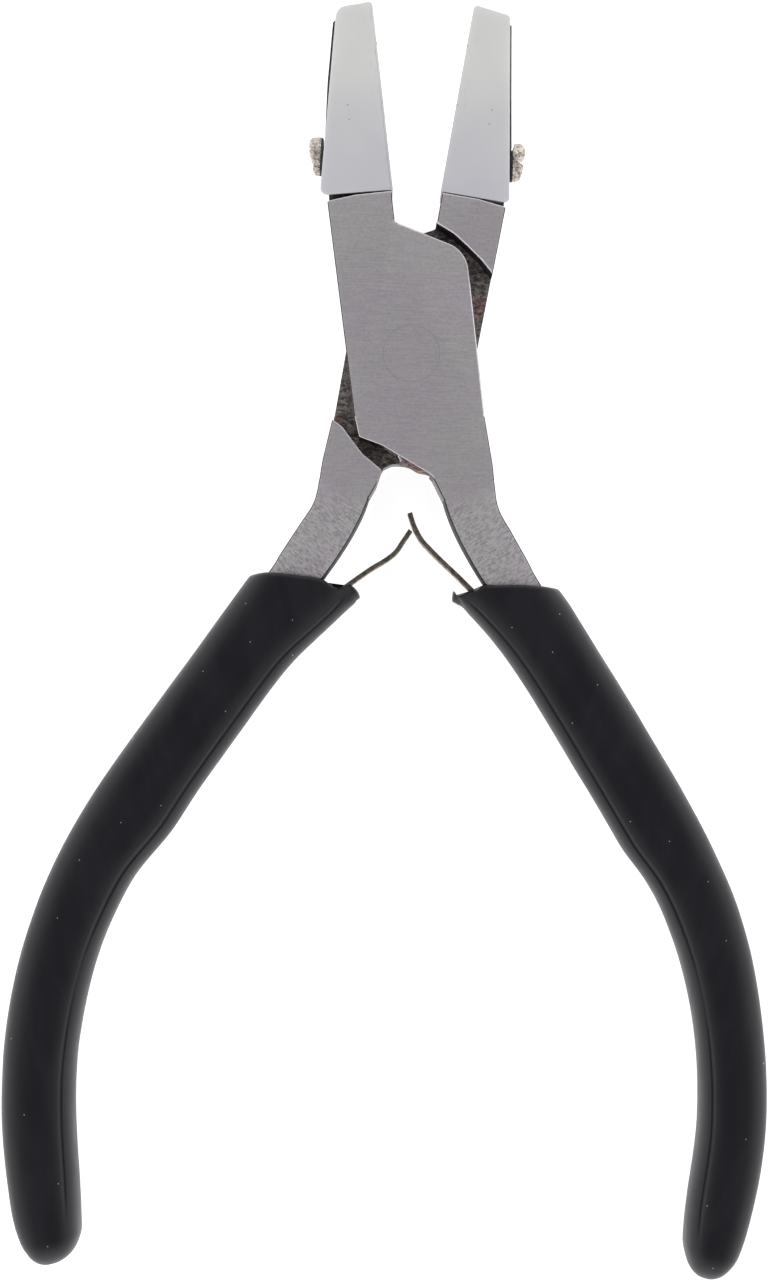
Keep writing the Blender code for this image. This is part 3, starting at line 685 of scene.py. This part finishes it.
def spring_steel():
    """Tempered strip, brown-black, with the bright line of its rubbed crown."""
    finish = Finish("spring_steel", metallic=1.0)
    grain = finish.noise(0.0, (2.0, 2.0, 0.4), 4.0, 0.6)
    rubs = finish.noise(0.0, (0.5, 0.5, 2.5), 3.0, 0.6)
    colour = finish.mix(finish.ramp(grain, 0.35, 0.65), (0.10, 0.082, 0.065), (0.24, 0.205, 0.17))
    finish.feed("Base Color", finish.mix(finish.ramp(rubs, 0.55, 0.75), colour, (0.36, 0.32, 0.27)))
    finish.feed("Roughness", finish.ramp(grain, 0.3, 0.7, 0.5, 0.32))
    finish.bump(grain, 0.015)
    return finish.material


def vinyl():
    """Satin black dipped vinyl, with a soft orange peel, handling smears and a little dust."""
    finish = Finish("vinyl", specular_ior_level=0.27)
    smears = finish.noise(20.0, (0.35, 0.09, 0.2), 4.0, 0.6, 0.4)
    peel = finish.noise(0.0, 0.9, 2.0, 0.5)
    base = finish.mix(finish.ramp(smears, 0.35, 0.7), (0.0063, 0.006, 0.0098), (0.0098, 0.0093, 0.0135))
    finish.feed("Base Color", finish.mix(finish.specks(0.22, 0.014, 0.5), base, (0.45, 0.45, 0.45)))
    finish.feed("Roughness", finish.ramp(smears, 0.3, 0.7, 0.38, 0.46))
    finish.bump(peel, 0.010)
    finish.bump(smears, 0.03)
    return finish.material


# The forged halves


def tang_edge(along, inner, outer):
    """The tang's two edges, which narrow evenly to its tip."""
    share = along / TANG_END
    inner = inner + (TANG_TIP - TANG_INNER) * share
    outer = outer + (TANG_TIP - TANG_OUTER) * share
    return handle_point(along, -inner)[0], handle_point(along, outer)[0]


def arm_ring(inner, outer, half_thickness, corner, draft, steps=4):
    """A rounded rectangle between two points of the arm's edges, whose walls swell at mid-thickness."""
    across = (outer - inner).normalized()
    ring = []
    for sign_across, edge in ((-1, inner), (1, outer)):
        for sign_up in ((1, 0, -1) if sign_across < 0 else (-1, 0, 1)):
            if sign_up == 0:
                swollen = edge + across * sign_across * draft
                ring.append(swollen.to_3d() + Vector((0, 0, MIDDLE)))
                continue
            for step in range(steps + 1):
                turn = math.pi / 2 * (step if sign_across * sign_up < 0 else steps - step) / steps
                shy = corner * (1 - math.sin(turn))
                level = MIDDLE + sign_up * (half_thickness - corner * (1 - math.cos(turn)))
                ring.append((edge - across * sign_across * shy).to_3d() + Vector((0, 0, level)))
    return ring


def arm_and_tang():
    """The arm below the joint, tapering into the tang that the grip covers."""
    steps = 8
    first = [tang_edge(along, TANG_INNER, TANG_OUTER) for along in (0.0, 3.0)]
    inner = curve_through([*ARM_INNER, *(edges[0] for edges in first)], steps)[:-steps]
    outer = curve_through([*ARM_OUTER, *(edges[1] for edges in first)], steps)[:-steps]
    rings = []
    for index in range(ARM_RINGS):
        share = index / (ARM_RINGS - 1)
        ends = point_along(inner, share), point_along(outer, share)
        level = (ends[0].y + ends[1].y) / 2
        taper = min(max((ARM_TAPER_START - level) / (ARM_TAPER_START - ARM_TAPER_END), 0.0), 1.0)
        half = MIDDLE - SEAM_SINK + (ARM_MOUTH_HALF - MIDDLE + SEAM_SINK) * taper
        draft = ARM_DRAFT * min(share * 3, 1.0)
        rings.append(arm_ring(*ends, half, 0.2, draft))
    along = 2.0
    while along < TANG_END:
        half = between(((0.0, ARM_MOUTH_HALF), (6.0, TANG_HALF_THICKNESS)), along)
        draft = between(((0.0, ARM_DRAFT), (6.0, 0.0)), along)
        rings.append(arm_ring(*tang_edge(along, TANG_INNER, TANG_OUTER), half, 0.3, draft))
        along += RING_SPACING
    rings.append(arm_ring(*tang_edge(TANG_END, TANG_INNER, TANG_OUTER), TANG_HALF_THICKNESS, 0.3, 0.0))
    return loft("arm", rings)


def rivet_body(name, grow, beyond):
    """The main rivet with its two flush heads, or the space that it turns in."""
    head = RIVET_HEAD_RADIUS + grow
    shaft = RIVET_RADIUS + grow
    depth = RIVET_HEAD_HEIGHT + grow
    profile = ((head, -beyond), (head, depth), (shaft, depth), (shaft, THICKNESS - depth),
               (head, THICKNESS - depth), (head, THICKNESS + beyond))
    return turned(name, profile, (0, 0, 0), (0, 0, 1), 96)


def bore(radius, low, high, axis, steps=24):
    """A cylinder along an axis, to cut with; the axis is a start and a heading."""
    return turned("bore", ((radius, low), (radius, high)), *axis, steps)


def half_forging(name, jaw):
    """One forged half: tongue, shank, lapped plate, arm and tang."""
    half = prism(name, rounded(PLATE_OUTLINE), 0.0, THICKNESS, EDGE_ROUND)
    recess = prism("recess", rounded(RECESS_OUTLINE, 6), -1.0, MIDDLE + SLIDE_GAP / 2, flare=STEP_CHAMFER)
    combine(half, recess)
    if jaw == "right":
        combine(half, prism("crotch", rounded(CROTCH_CUT), -1.0, THICKNESS + 1.0))
    else:
        combine(half, prism("web", rounded(WEB_OUTLINE, 6), MIDDLE + 0.6, THICKNESS - 0.5, 0.4), "UNION")
    combine(half, arm_and_tang(), "UNION")
    root, end = TONGUE_INNER_X
    tongue = [(TONGUE_ROOT_X, TONGUE_ROOT_Y, 0.0), (root, TONGUE_ROOT_Y, 0.0),
              (end, JAWS[jaw]["tongue_end"], 0.4), *JAWS[jaw]["tongue"]]
    combine(half, slab("tongue", rounded(tongue), TONGUE_HALF_THICKNESS, 0.1), "UNION")
    combine(half, rivet_body("bore", RIVET_SEAM, 1.0))
    combine(half, bore(SCREW_RADIUS + SNUG_GAP, -3.0, SCREW_LENGTH + 1.0, screw_axis(jaw), 32))
    depth = SPRING_RIVET_DEPTH + SEAT_GAP
    combine(half, bore(SPRING_RIVET_RADIUS + SEAT_GAP, -1.0, depth, spring_rivet_axis()))
    for finish in (STEEL, SCALE, SHADE_EDGE):
        half.data.materials.append(finish)
    for face in half.data.polygons:
        face.material_index = finish_of(face.center, face.normal, jaw)
    return half


def finish_of(middle, normal, jaw):
    """Which finish a half's face has, from where it lies and the way it faces."""
    recess = [Vector(corner[:2]) for corner in RECESS_OUTLINE]
    web = [Vector(corner[:2]) for corner in WEB_OUTLINE[1:-1]]
    by_step = near_line(middle, [*recess, recess[0]], 0.25)
    if MIDDLE < middle.z < MIDDLE + SLIDE_GAP and normal.z < -0.9 and abs(middle.y) < 15.0:
        return SCALY
    if jaw == "left" and middle.z < THICKNESS - 0.3 and near_line(middle, web, 0.6):
        return SCALY
    # The tongue's faces beside the nylon get painted shade.
    if middle.y > NYLON_FOOT_Y - 0.4 and abs(middle.z - MIDDLE) < TONGUE_HALF_THICKNESS + 0.05:
        return SHADED
    # The lap's upright walls get painted shade.
    if by_step and abs(normal.z) < 0.3 and STEP_CHAMFER < middle.z < MIDDLE:
        return SHADED
    # Rounded edges get painted shade as a dark line, except by the step, beside the plate, by the crotch and
    # by the nylon.
    beside_plate = -8.0 < middle.y < 14.0 and middle.x > 0.0
    by_crotch = middle.y < -6.5 and middle.x < 1.0
    bright = by_step or beside_plate or by_crotch or middle.y > 17.2
    shaded_bevel = 0.02 < abs(normal.z) < 0.93 and abs(middle.z - MIDDLE) > 1.0
    return SHADED if shaded_bevel and not bright else GROUND


def near_line(point, line, reach):
    """Whether a point lies within reach of a line as seen from the front."""
    flat = Vector((point.x, point.y))
    for start, end in zip(line, line[1:]):
        along = min(max((flat - start).dot(end - start) / (end - start).length_squared, 0.0), 1.0)
        if (flat - start.lerp(end, along)).length < reach:
            return True
    return False


# The jaws


def screw_axis(jaw):
    """Where the underside of the screw's head sits, and the way the screw points."""
    return (Vector((JAWS[jaw]["head_x"], SCREW_Y, MIDDLE)),
            Vector((math.cos(SCREW_TILT), -math.sin(SCREW_TILT), 0)))


def nylon_jaw(jaw):
    """A nylon block that wraps three sides of the steel tongue."""
    size = JAWS[jaw]
    outline = (
        (FACE_X, NYLON_FOOT_Y, 0.25),
        (FACE_X, NYLON_TIP_Y, 0.45),
        (-size["tip"], NYLON_TIP_Y - size["tip_drop"], size["tip_radius"]),
        (-size["foot"], NYLON_FOOT_Y + size["foot_rise"], size["foot_radius"]),
    )
    low, high = NYLON_SET_BACK, THICKNESS - NYLON_SET_BACK
    block = prism(f"{jaw}_jaw_block", rounded(outline), low, high, NYLON_EDGE, 5)
    corner = Vector(outline[3][:2])
    for vertex in block.data.vertices:
        behind = vertex.co.z / THICKNESS if jaw == "right" else 1 - vertex.co.z / THICKNESS
        near = max(1 - (vertex.co.xy - corner).length / NYLON_SLOPE_REACH, 0.0)
        vertex.co += NYLON_SLOPE * behind * near
    end = size["tongue_end"] + SLOT_END_GAP
    inner = [Vector((x + SEAT_GAP, y)) for x, y in zip(TONGUE_INNER_X, (TONGUE_ROOT_Y, end))]
    slot = [Vector((SLOT_MOUTH_X, TONGUE_ROOT_Y)), *inner, Vector((SLOT_MOUTH_X, end))]
    combine(block, slab("slot", slot, TONGUE_HALF_THICKNESS + SLOT_GAP))
    combine(block, bore(SCREW_RADIUS + SNUG_GAP, -3.0, SCREW_LENGTH + SEAT_GAP, screw_axis(jaw), 32))
    if jaw == "left":
        edge = Matrix.Translation((FACE_X, (NYLON_FOOT_Y + NYLON_TIP_Y) / 2, THICKNESS))
        turn = edge @ Matrix.Rotation(math.radians(45), 4, "Y")
        depth = NYLON_CHAMFER * math.sqrt(2)
        combine(block, box("chamfer", (5.0, 30.0, depth), turn))
    block.data.materials.append(NYLON)
    return block


def jaw_screw(jaw):
    """A slotted cheese-head screw that holds the nylon on its tongue, its head torn by drivers."""
    start, heading = screw_axis(jaw)
    top = -SCREW_HEAD_HEIGHT
    radius = SCREW_HEAD_RADIUS
    profile = [(0.9, top), (radius - 0.4, top + 0.15), (radius - 0.12, top + 0.4), (radius, top + 0.75),
               (radius, 0.0)]
    head = turned(f"{jaw}_screw", profile, start, heading)
    outline = [Vector(corner) for corner in SCREW_HEADS[jaw]]
    worn = prism("worn", outline, -radius - 0.3, radius + 0.3)
    worn.data.transform(Matrix.Translation(start + heading * top) @ Matrix.Rotation(-SCREW_TILT, 4, "Z"))
    combine(head, worn, "INTERSECT")
    shaft = [(SCREW_RADIUS, -0.3), (SCREW_RADIUS, SCREW_LENGTH - 0.4), (SCREW_RADIUS - 0.35, SCREW_LENGTH)]
    combine(head, turned("shaft", shaft, start, heading), "UNION")
    chew(head, start, heading)
    head.data.materials.append(NICKEL)
    head.data.materials.append(SHADE_EDGE)
    for face in head.data.polygons:
        # The rim under the head, by the nylon, gets painted shade.
        face.material_index = int((face.center - start).dot(heading) > -SCREW_SHADE_BAND)
    return head


def chew(screw, start, heading):
    """Rounds the head's edges and dents it, as slipping drivers do."""
    bevel = screw.modifiers.new("worn edges", "BEVEL")
    bevel.width = WEAR_ROUND
    bevel.segments = 3
    bevel.limit_method = "ANGLE"
    bevel.angle_limit = math.radians(40)
    finer = screw.modifiers.new("finer", "REMESH")
    finer.mode = "VOXEL"
    finer.voxel_size = WEAR_VOXEL
    apply_modifiers(screw)
    for vertex in screw.data.vertices:
        depth = (vertex.co - start).dot(heading)
        if depth > -WEAR_START:
            continue
        dent = noise.noise(vertex.co * 1.6) * 0.1 + noise.noise(vertex.co * 4.0) * 0.04
        outward = (vertex.co - start - heading * depth).normalized()
        vertex.co += (outward * 0.7 - heading * 0.5) * max(min(dent, WEAR_LIMITS[1]), WEAR_LIMITS[0])


# The leaf springs


def tang_half(along):
    """How far the tang reaches inwards from the handle's middle line."""
    return TANG_INNER + (TANG_TIP - TANG_INNER) * along / TANG_END


def leaf_line(handle):
    """The middle line of a leaf's fixed length, from its riveted end up to the grip's mouth."""
    tang = [handle_point(along, -(tang_half(along) + SEAT_GAP + LEAF_THICKNESS / 2))[0]
            for along in (LEAF_CLAMP + 2.2, LEAF_CLAMP, 30.0, 25.0, 20.0, 15.0, 10.0)]
    side = SIDES[handle]
    off_tang = handle_point(5.0, -TANG_INNER - 0.55)[0]
    return curve_through([*tang, off_tang, side["leaf_entry"], side["leaf"][0]], 6)


def spring_rivet_axis():
    """Where the rivet crosses the tang's inner edge, and the way it points."""
    edge, heading = handle_point(LEAF_CLAMP, -tang_half(LEAF_CLAMP))
    return edge.to_3d() + Vector((0, 0, MIDDLE)), Vector((math.cos(heading), math.sin(heading), 0))


def leaf_spring(handle):
    """One bent strip of spring steel, from its rivet inside the grip to its free tip."""
    line = leaf_line(handle)[:-1] + curve_through(SIDES[handle]["leaf"], 8)
    spring = slab(f"{handle}_leaf_spring", strip_outline(line, LEAF_THICKNESS), LEAF_HALF_WIDTH, 0.1, 3)
    combine(spring, bore(SPRING_RIVET_RADIUS + SEAT_GAP, -2.0, 2.0, spring_rivet_axis()))
    spring.data.materials.append(SPRING)
    return spring


def spring_rivet(handle):
    """The dome-headed rivet that fixes a leaf spring to its tang."""
    start, heading = spring_rivet_axis()
    seat = -(2 * SEAT_GAP + LEAF_THICKNESS)
    head = SPRING_RIVET_HEAD_RADIUS
    profile = [(SPRING_RIVET_RADIUS, SPRING_RIVET_DEPTH), (SPRING_RIVET_RADIUS, seat), (head, seat)]
    for step in range(1, 9):
        turn = math.pi / 2 * step / 9
        profile.append((head * math.cos(turn), seat - SPRING_RIVET_HEAD_HEIGHT * math.sin(turn)))
    rivet = turned(f"{handle}_leaf_rivet", profile, start, heading, 32)
    rivet.data.materials.append(RIVET)
    return rivet


# The grips


def grip_ring(along, shrink, handle):
    """One cross-section of a grip: square to the tool at the mouth, square to the handle further down."""
    side = SIDES[handle]
    middle, heading = handle_point(along)
    tilt = between(((0.0, MOUTH_TILT), (MOUTH_TURN, heading)), along)
    across = Vector((math.cos(tilt), math.sin(tilt)))
    upward = Vector((-math.sin(tilt), math.cos(tilt)))
    inner = grip_reach(side["inner"], along, tilt - heading)
    outer = grip_reach(side["outer"], along, heading - tilt)
    into_cap = max(along - (side["end"] - side["cap"]), 0.0) / side["cap"]
    round_off = math.sqrt(max(1.0 - into_cap**2, 0.0))
    crease_place = CREASE_INSET - inner
    crease_depth = CREASE_DEPTH * between(CREASE_FADE, along)
    valley_depth = VALLEY_DEPTH * between(VALLEY_FADE, along)
    ring = []
    for angle in ring_angles(crease_place / inner):
        sideways = math.copysign(abs(math.cos(angle)) ** (2 / GRIP_SQUARENESS), math.cos(angle))
        upwards = math.copysign(abs(math.sin(angle)) ** (2 / GRIP_SQUARENESS), math.sin(angle))
        aside = sideways * ((outer if sideways > 0 else inner) - shrink)
        lip = flowing(side["lip"], aside) * (1 - min(along / LIP_LENGTH, 1.0)) ** 2
        on_face = max(abs(upwards) - 0.3, 0.0) / 0.7
        crease = crease_depth * hump(aside, crease_place, CREASE_WIDTH)
        sunk = crease + valley_depth * hump(aside, VALLEY_PLACE, VALLEY_WIDTH)
        up = upwards * (MIDDLE - shrink) - math.copysign(sunk * on_face, upwards)
        flat = middle + across * (side["lean"] + (aside - side["lean"]) * round_off) + upward * lip
        point = flat.to_3d() + Vector((0, 0, MIDDLE + up * round_off))
        shallow = min(noise.noise(point * 0.16 + Vector((0, 0, 7.0 * (handle == "left")))), 0.0) * 0.07
        ring.append(point + shallow * Vector((*(across * sideways), upwards)))
    return ring


def ring_angles(crease_share):
    """Angles round a ring from its outer edge over the front, close together along the two creases."""
    crease = math.pi - math.acos(min(-crease_share, 1.0) ** (GRIP_SQUARENESS / 2))
    knots = (0.0, crease - CREASE_SPREAD, crease + CREASE_SPREAD, math.pi)
    half = []
    for low, high, steps in zip(knots, knots[1:], RING_STEPS):
        half += [low + (high - low) * step / steps for step in range(steps)]
    return half + [math.tau - angle for angle in [math.pi, *half[:0:-1]]]


def grip_reach(edge, along, turn):
    """How far a cross-section that is turned from square reaches to a grip's edge."""
    width = flowing(edge, along)
    for _ in range(4):
        width = flowing(edge, along + width * math.tan(turn))
    return width / math.cos(turn)


def grip_stations(handle):
    """Where a grip's rings lie down the handle, and how much the rounding of its lip shrinks each."""
    lip_turns = [math.radians(degrees) for degrees in (0, 15, 30, 50, 70, 90)]
    stations = [(LIP_RADIUS * (1 - math.cos(turn)), LIP_RADIUS * (1 - math.sin(turn))) for turn in lip_turns]
    stations += [(LIP_RADIUS + 0.25 * step, 0.0) for step in range(1, MOUTH_RINGS)]
    cap = SIDES[handle]["cap"]
    start, end = 4.4, SIDES[handle]["end"] - cap
    stations += [(start + (end - start) * step / SLEEVE_RINGS, 0.0) for step in range(SLEEVE_RINGS)]
    stations += [(end + cap * math.sin(math.radians(7.2 * step)), 0.0) for step in range(CAP_RINGS)]
    return stations


def grip(handle):
    """A dipped vinyl grip, hollow where the tang and the leaf spring run.

    The rivet's space has to be cut first: in another order the exact solver empties the right grip.
    """
    rings = [grip_ring(along, shrink, handle) for along, shrink in grip_stations(handle)]
    sleeve = loft(f"{handle}_handle_grip", rings)
    places = [-5.0, *(RING_SPACING * step for step in range(26)), TANG_END + 0.3]
    edges = [tang_edge(along, TANG_INNER + SEAT_GAP, TANG_OUTER + SEAT_GAP) for along in places]
    tang = [inner for inner, _ in edges] + [outer for _, outer in edges[::-1]]
    top = -(2 * SEAT_GAP + LEAF_THICKNESS + SPRING_RIVET_HEAD_HEIGHT + SEAT_GAP)
    combine(sleeve, bore(SPRING_RIVET_HEAD_RADIUS + SEAT_GAP, top, 1.0, spring_rivet_axis()))
    combine(sleeve, slab("tang_space", tang, ARM_MOUTH_HALF + SNUG_GAP))
    combine(sleeve, slab("leaf_space", leaf_space(handle), LEAF_SPACE_HALF_WIDTH))
    sleeve.data.materials.append(VINYL)
    return sleeve


def leaf_space(handle):
    """The outline of the pocket beside the tang where the leaf spring lies."""
    line = leaf_line(handle)
    mouth = line[-1] + (line[-1] - line[-2]).normalized() * 3.5
    start = line[0] + (line[0] - line[1]).normalized() * 0.3
    line = [start, *line[1:-1], mouth]
    sides = strip_outline(line, LEAF_THICKNESS + 2 * SEAT_GAP + 0.1)
    near = min((sides[: len(line)], sides[len(line):][::-1]), key=lambda side: sum(point.x for point in side))
    return near + [handle_point(along)[0] for along in (-4.0, 10.0, 20.0, LEAF_CLAMP + 2.5)]


# The photographer's table, in metres

TABLE_SIZE = 3.0
TABLE_DROP = 0.0002  # so that it doesn't flicker against the tool's back
TABLE_GLOW = 0.85
DOME_STOPS = ((0.0, 1.0), (0.25, 0.95), (0.6, 0.55), (0.85, 0.26), (1.0, 0.2))  # from the horizon up
DOME_STRENGTH = 1.7
CAMERA_HEIGHT = 0.30  # above the tool's front
CAMERA_PLACE = (-0.0019, -0.0310)
CAMERA_TURN = math.radians(1.95)
VIEW_HEIGHT = 0.1380  # how much of the tool's front the picture's height takes in
SENSOR = 36.0


def table_and_light():
    """A white table under a soft dome that is brighter towards the horizon, on a plain white background."""
    bpy.ops.mesh.primitive_plane_add(size=TABLE_SIZE, location=(0, 0, -TABLE_DROP))
    floor = bpy.context.object
    floor.name = "table"
    white = Finish("table", base_color=(0.8, 0.8, 0.8, 1.0), roughness=1.0, specular_ior_level=0.0,
                   emission_color=(1.0, 1.0, 1.0, 1.0), emission_strength=TABLE_GLOW)
    floor.data.materials.append(white.material)

    world = bpy.data.worlds.new("studio")
    bpy.context.scene.world = world
    world.use_nodes = True
    tree = world.node_tree
    tree.nodes.clear()
    link = tree.links.new

    def add(kind):
        return tree.nodes.new("ShaderNode" + kind)

    split = add("SeparateXYZ")
    link(add("TexCoord").outputs["Generated"], split.inputs[0])
    ramp = add("ValToRGB")
    link(split.outputs["Z"], ramp.inputs[0])
    elements = ramp.color_ramp.elements
    while len(elements) < len(DOME_STOPS):
        elements.new(0.5)
    for element, (position, level) in zip(elements, DOME_STOPS):
        element.position = position
        element.color = (level, level, level, 1.0)
    dome = add("Background")
    link(ramp.outputs["Color"], dome.inputs["Color"])
    dome.inputs["Strength"].default_value = DOME_STRENGTH
    plain = add("Background")
    plain.inputs["Color"].default_value = (1.0, 1.0, 1.0, 1.0)
    mixed = add("MixShader")
    link(add("LightPath").outputs["Is Camera Ray"], mixed.inputs[0])
    link(dome.outputs[0], mixed.inputs[1])
    link(plain.outputs[0], mixed.inputs[2])
    link(mixed.outputs[0], add("OutputWorld").inputs[0])


def camera():
    """Straight above the tool, a little turned, as far off as the photographer stood."""
    data = bpy.data.cameras.new("camera")
    data.sensor_width = SENSOR
    data.lens = SENSOR * CAMERA_HEIGHT / VIEW_HEIGHT
    made = bpy.data.objects.new("camera", data)
    bpy.context.scene.collection.objects.link(made)
    made.location = (*CAMERA_PLACE, THICKNESS * MM + CAMERA_HEIGHT)
    made.rotation_euler = (0, 0, CAMERA_TURN)
    bpy.context.scene.camera = made
    bpy.context.scene.view_settings.view_transform = "Standard"


# Assembly

STEEL = ground_steel()
SCALE = forging_scale()
SHADE_EDGE = forged_edge()
RIVET = rivet_steel()
NYLON = nylon()
NICKEL = worn_nickel()
SPRING = spring_steel()
VINYL = vinyl()


def build():
    """Every piece of both halves, and the rivet that joins them."""
    for half, jaw, handle in (("front_half", "left", "right"), ("back_half", "right", "left")):
        place(half_forging(f"{half}_forging", jaw), half, half, "forged_steel", half)
        place(nylon_jaw(jaw), half, half, "nylon", f"{jaw}_nylon_jaw")
        place(jaw_screw(jaw), half, half, "screw_nickel", f"{jaw}_jaw_screw", crease=60.0)
        spring = leaf_spring(handle)
        place(spring, half, None, "spring_steel", f"{handle}_spring_root", f"{handle}_spring_leaf")
        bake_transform(spring)
        place(spring_rivet(handle), half, half, "rivet_steel", f"{handle}_spring_rivet")
        place(grip(handle), half, half, "vinyl", f"{handle}_grip", crease=50.0)
    rivet = rivet_body("main_rivet", 0.0, 0.0)
    rivet.data.materials.append(RIVET)
    place(rivet, "front_half", "front_half", "rivet_steel", "pivot_rivet")


build()
table_and_light()
camera()
